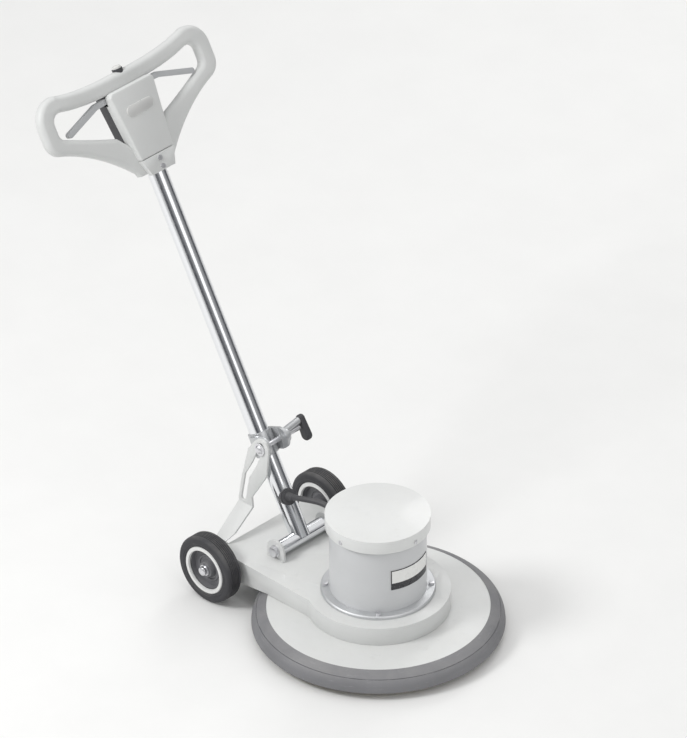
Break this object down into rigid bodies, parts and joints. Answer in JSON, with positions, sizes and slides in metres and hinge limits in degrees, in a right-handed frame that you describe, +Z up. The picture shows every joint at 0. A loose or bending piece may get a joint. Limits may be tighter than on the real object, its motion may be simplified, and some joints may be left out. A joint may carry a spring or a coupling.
{
  "type": "floor burnisher",
  "caption": "Walk-behind floor burnisher: round pad deck with bumper, upright motor, transport wheels and a tilting tube handle with a looped grip head and squeeze bars.",
  "frame": {"origin": "on the floor under the motor shaft, at the middle of the burnishing pad's lower face", "axes": "+X forward, away from the person; +Y to the machine's left; +Z up along the motor shaft"},
  "size_m": [1.0953, 0.56, 1.1223],
  "materials": {
    "pale_paint": "satin, light scuffs",
    "bumper_rubber": "matte",
    "zinc_steel": "zinc plated",
    "ground_steel": "ground",
    "cast_aluminium": "as cast",
    "motor_paint": "satin",
    "cover_paint": "satin",
    "label_film": "gloss",
    "core_steel": "laminated",
    "copper_wire": "enamelled",
    "black_plastic": "matte",
    "lead_rubber": "matte",
    "driver_plastic": "matte",
    "pad_fibre": "fibrous",
    "lock_plastic": "gloss",
    "tyre_rubber": "matte",
    "rim_plastic": "semi-gloss",
    "dish_paint": "satin",
    "tube_chrome": "bright",
    "bush_nylon": "matte",
    "clamp_steel": "satin",
    "head_plastic": "fine texture",
    "trigger_plastic": "fine texture",
    "button_plastic": "semi-gloss"
  },
  "bodies": {
    "chassis": {"deck_shroud": "pale_paint", "deck_bumper": "bumper_rubber", "deck_bolts": "zinc_steel", "chassis_platform": "pale_paint", "pivot_ears": "pale_paint", "stay_bracket": "pale_paint", "stay_pin": "zinc_steel", "wheel_axle": "ground_steel", "axle_spacers": "ground_steel", "axle_caps": "zinc_steel", "pivot_bolt": "zinc_steel", "motor_flange": "cast_aluminium", "flange_bolts": "zinc_steel", "motor_can": "motor_paint", "motor_rating_plate": "label_film", "lower_end_bell": "cast_aluminium", "upper_end_bell": "cast_aluminium", "stator_core": "core_steel", "stator_windings": "copper_wire", "lower_bearing": "ground_steel", "upper_bearing": "ground_steel", "fan_cover": "cover_paint", "fan_cover_screws": "zinc_steel", "motor_gland": "black_plastic", "motor_lead": "lead_rubber"},
    "rotor": {"motor_shaft": "ground_steel", "rotor_core": "core_steel", "cooling_fan": "black_plastic", "clutch_plate": "cast_aluminium", "pad_driver": "driver_plastic", "burnishing_pad": "pad_fibre", "pad_lock": "lock_plastic"},
    "wheel_right": {"tyre_right": "tyre_rubber", "wheel_rim_right": "rim_plastic", "wheel_dish_right": "dish_paint"},
    "wheel_left": {"tyre_left": "tyre_rubber", "wheel_rim_left": "rim_plastic", "wheel_dish_left": "dish_paint"},
    "handle": {"handle_tube": "tube_chrome", "cross_tube": "tube_chrome", "pivot_bushes": "bush_nylon", "clamp_bracket": "clamp_steel", "clamp_bolt": "zinc_steel", "lead_grommet": "lead_rubber", "handle_wiring": "lead_rubber", "grip_frame": "head_plastic", "console_front": "head_plastic", "console_rear": "black_plastic", "console_collar": "head_plastic", "console_badge": "label_film", "head_screws": "zinc_steel", "main_switch": "black_plastic", "trigger_pins": "zinc_steel", "supply_gland": "black_plastic", "button_bezel": "black_plastic"},
    "button": {"interlock_button": "button_plastic"},
    "squeeze_right": {"trigger_right": "trigger_plastic"},
    "squeeze_left": {"trigger_left": "trigger_plastic"},
    "lever": {"clamp_lever": "clamp_steel"},
    "stay": {"stay_bar": "pale_paint"}
  },
  "joints": [
    {"name": "pad_spin", "type": "hinge", "parent": "chassis", "child": "rotor", "pos_m": [0, 0, 0], "axis": [0, 0, 1], "continuous": true},
    {"name": "wheel_right_spin", "type": "hinge", "parent": "chassis", "child": "wheel_right", "pos_m": [-0.348, -0.175, 0.08], "axis": [0, 1, 0], "continuous": true},
    {"name": "wheel_left_spin", "type": "hinge", "parent": "chassis", "child": "wheel_left", "pos_m": [-0.348, 0.175, 0.08], "axis": [0, 1, 0], "continuous": true},
    {"name": "handle_tilt", "type": "hinge", "parent": "chassis", "child": "handle", "pos_m": [-0.2413, 0, 0.1264], "axis": [0, -1, 0], "range_deg": [-4, 40], "deforming": ["motor_lead"]},
    {"name": "stay_swing", "type": "hinge", "parent": "chassis", "child": "stay", "pos_m": [-0.373, -0.116, 0.097], "axis": [0, -1, 0], "range_deg": [-3.2, 29.2]},
    {"name": "clamp_turn", "type": "hinge", "parent": "handle", "child": "lever", "pos_m": [-0.32654, 0.04, 0.33617], "axis": [0, 1, 0], "range_deg": [0, 110]},
    {"name": "squeeze_right_swing", "type": "hinge", "parent": "handle", "child": "squeeze_right", "pos_m": [-0.77031, -0.05, 1.05763], "axis": [-0.8695, 0, -0.4939], "range_deg": [0, 5], "stiffness_Nm_per_rad": 3, "springref_deg": -5.73},
    {"name": "squeeze_left_swing", "type": "hinge", "parent": "handle", "child": "squeeze_left", "pos_m": [-0.77031, 0.05, 1.05763], "axis": [0.8695, 0, 0.4939], "range_deg": [0, 5], "stiffness_Nm_per_rad": 3, "springref_deg": -5.73},
    {"name": "button_press", "type": "slide", "parent": "handle", "child": "button", "axis": [0.4939, 0, -0.8695], "range_m": [0, 0.004], "stiffness_N_per_m": 400, "springref_m": -0.004}
  ],
  "couplings": [
    {"joint": "stay_swing", "follows": "handle_tilt", "ratio": 0.72}
  ]
}
